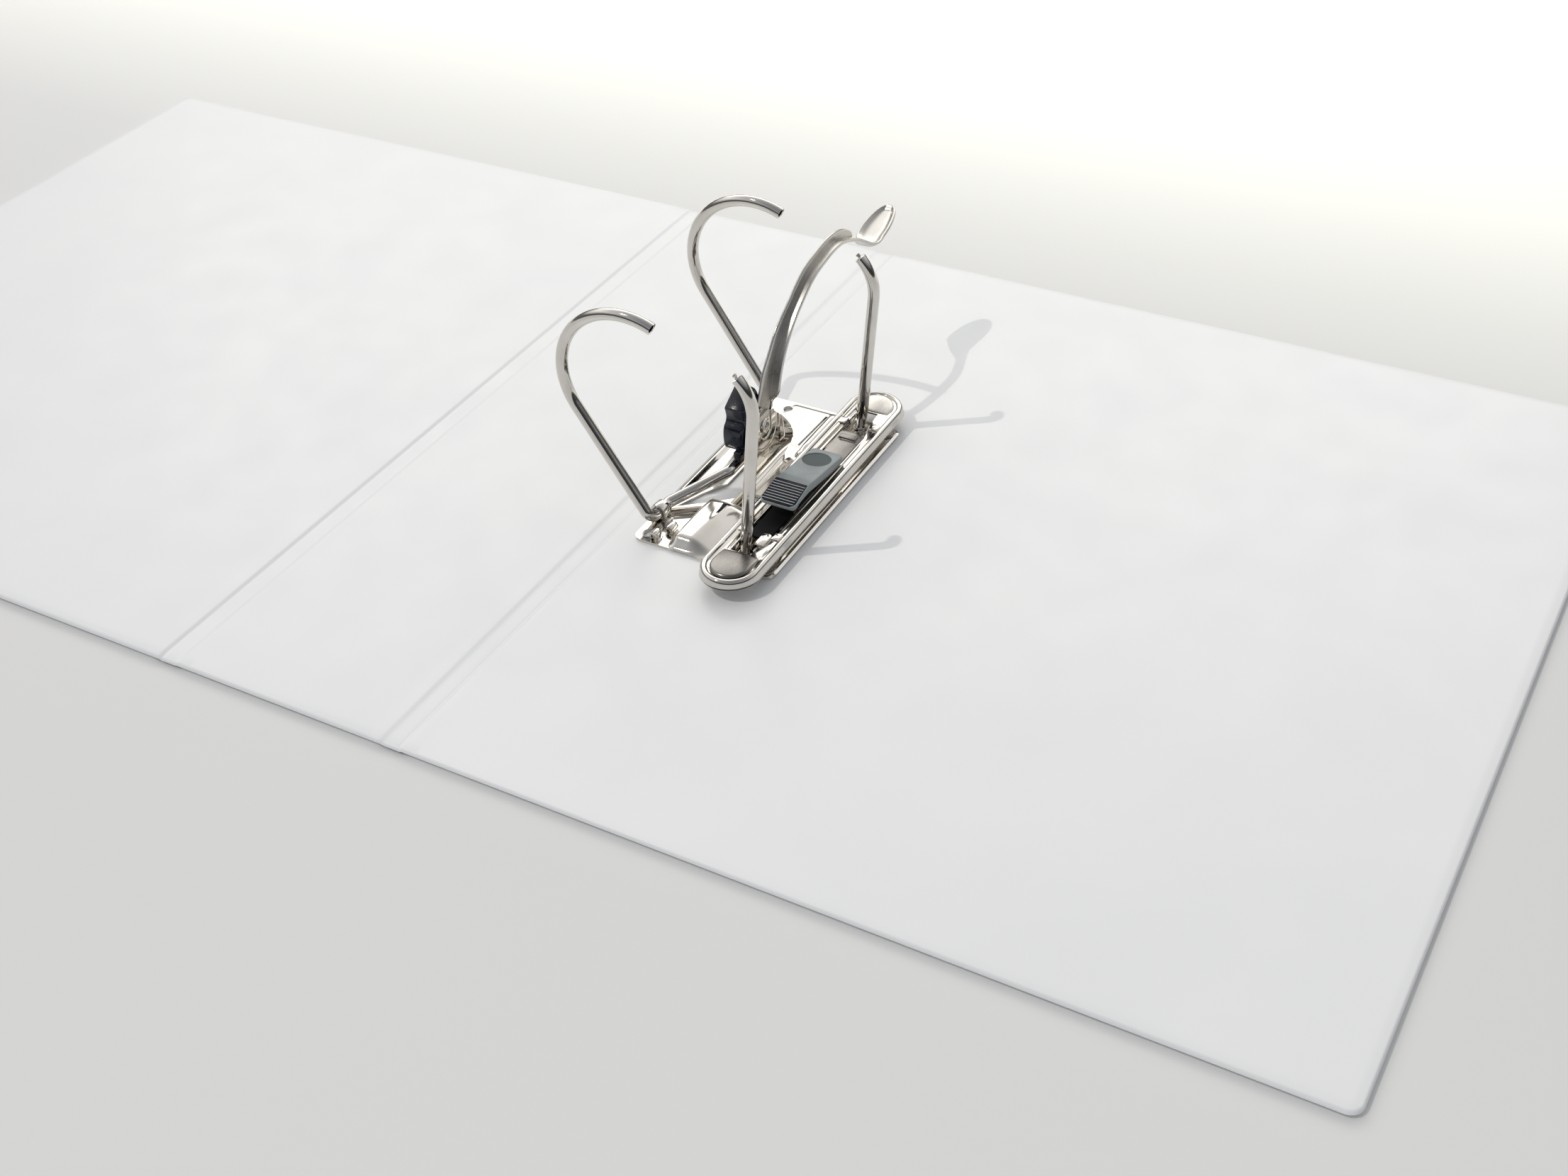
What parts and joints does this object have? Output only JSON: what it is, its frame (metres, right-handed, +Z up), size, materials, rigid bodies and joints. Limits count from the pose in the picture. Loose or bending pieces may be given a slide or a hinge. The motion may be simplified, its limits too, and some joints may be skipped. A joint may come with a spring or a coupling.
{
  "type": "lever arch file",
  "caption": "White film-covered lever arch file lying open, with a nickel-plated lever mechanism, wire arches, posts and a compressor bar on its rear cover.",
  "frame": {"origin": "under the middle of the spine, on the plane that the outer film rests on", "axes": "+X towards the rear cover's free edge, +Y along the spine towards the head of the file, +Z up out of the lining"},
  "size_m": [0.658, 0.318, 0.0848],
  "materials": {
    "cover_film": "glossy white film",
    "greyboard": "uncoated",
    "bright_nickel": "bright nickel plate",
    "satin_nickel": "satin nickel plate",
    "navy_plastic": "glossy",
    "grey_plastic": "satin"
  },
  "bodies": {
    "rear_cover": {"rear_board": "greyboard", "rear_outer_film": "cover_film", "rear_lining": "cover_film", "rear_hinge_film": "cover_film", "base_plate": "bright_nickel", "base_rivets": "satin_nickel", "lever_bracket": "bright_nickel", "lever_rivet": "satin_nickel", "near_post": "bright_nickel", "far_post": "bright_nickel", "near_post_pin": "bright_nickel", "far_post_pin": "bright_nickel"},
    "spine": {"spine_board": "greyboard", "spine_outer_film": "cover_film", "spine_lining": "cover_film", "front_hinge_film": "cover_film"},
    "front_cover": {"front_board": "greyboard", "front_outer_film": "cover_film", "front_lining": "cover_film"},
    "arches": {"arch_wire": "bright_nickel"},
    "lever": {"lever": "bright_nickel", "cam_block": "navy_plastic"},
    "compressor": {"compressor_plate": "satin_nickel", "left_clamp_strip": "satin_nickel", "right_clamp_strip": "satin_nickel"},
    "lock": {"lock_plate": "satin_nickel", "lock_button": "grey_plastic"}
  },
  "joints": [
    {"name": "spine_fold", "type": "hinge", "parent": "rear_cover", "child": "spine", "pos_m": [0.044, 0, 0.0008], "axis": [0, 1, 0], "range_deg": [0, 65], "deforming": ["rear_hinge_film"]},
    {"name": "front_fold", "type": "hinge", "parent": "spine", "child": "front_cover", "pos_m": [-0.044, 0, 0.0008], "axis": [0, 1, 0], "range_deg": [0, 90], "deforming": ["front_hinge_film"]},
    {"name": "lever_turn", "type": "hinge", "parent": "rear_cover", "child": "lever", "pos_m": [0.074, 0.0064, 0.0221], "axis": [-1, 0, 0], "range_deg": [0, 25]},
    {"name": "arch_turn", "type": "hinge", "parent": "rear_cover", "child": "arches", "pos_m": [0.0572, 0.003, 0.006], "axis": [0, 1, 0], "range_deg": [0, 23.5]},
    {"name": "compressor_slide", "type": "slide", "parent": "rear_cover", "child": "compressor", "axis": [0.1201, 0, 0.9928], "range_m": [0, 0.036]},
    {"name": "lock_slide", "type": "slide", "parent": "compressor", "child": "lock", "axis": [0, 1, 0], "range_m": [0, 0.006]}
  ],
  "couplings": [
    {"joint": "arch_turn", "follows": "lever_turn", "ratio": 0.94}
  ]
}
